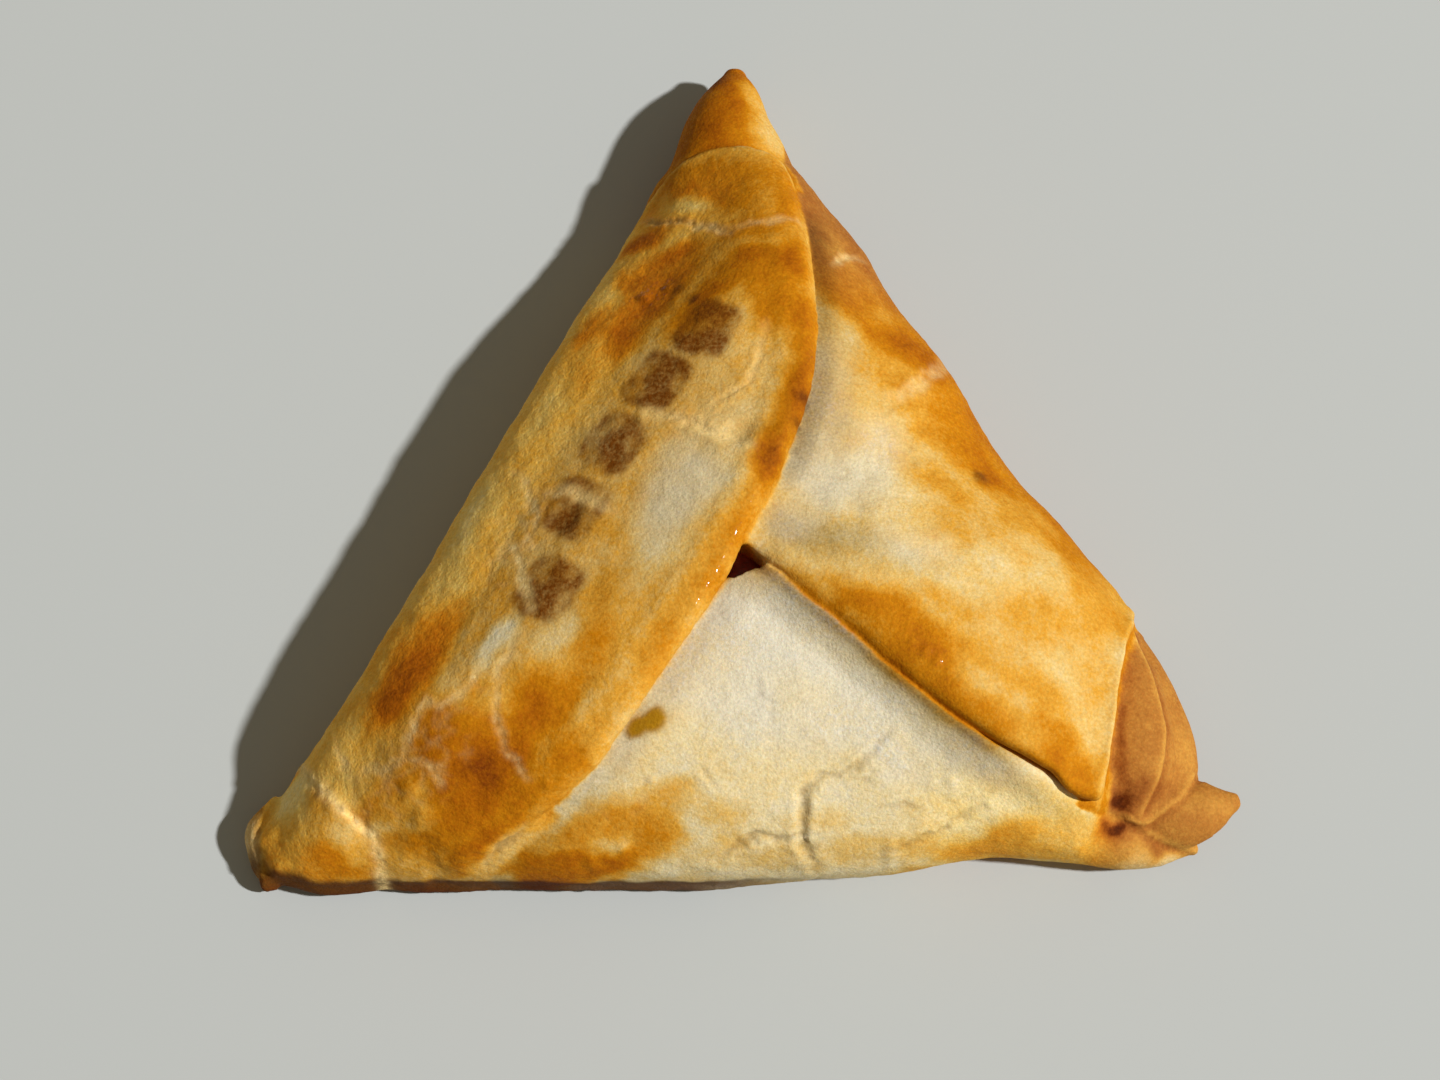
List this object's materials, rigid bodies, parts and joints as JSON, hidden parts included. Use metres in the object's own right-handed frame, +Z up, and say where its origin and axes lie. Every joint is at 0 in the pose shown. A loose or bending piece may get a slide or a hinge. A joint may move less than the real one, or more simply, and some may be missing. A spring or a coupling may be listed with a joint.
{
  "type": "triangular meat turnover",
  "caption": "Triangular baked turnover: a sheet of dough folded in over a mince filling, its overlapping folds meeting at a small gap in the middle; lies flat to be served.",
  "frame": {"origin": "on the surface it lies on, under the middle of the bounding box", "axes": "+X along the near side towards the right-hand corner, +Y towards the far tip, +Z up"},
  "size_m": [0.115, 0.1022, 0.0276],
  "materials": {
    "dough": "baked crust, part glazed with egg",
    "filling": "moist cooked mince"
  },
  "bodies": {
    "root": {"dough": "dough", "filling": "filling"}
  },
  "joints": []
}
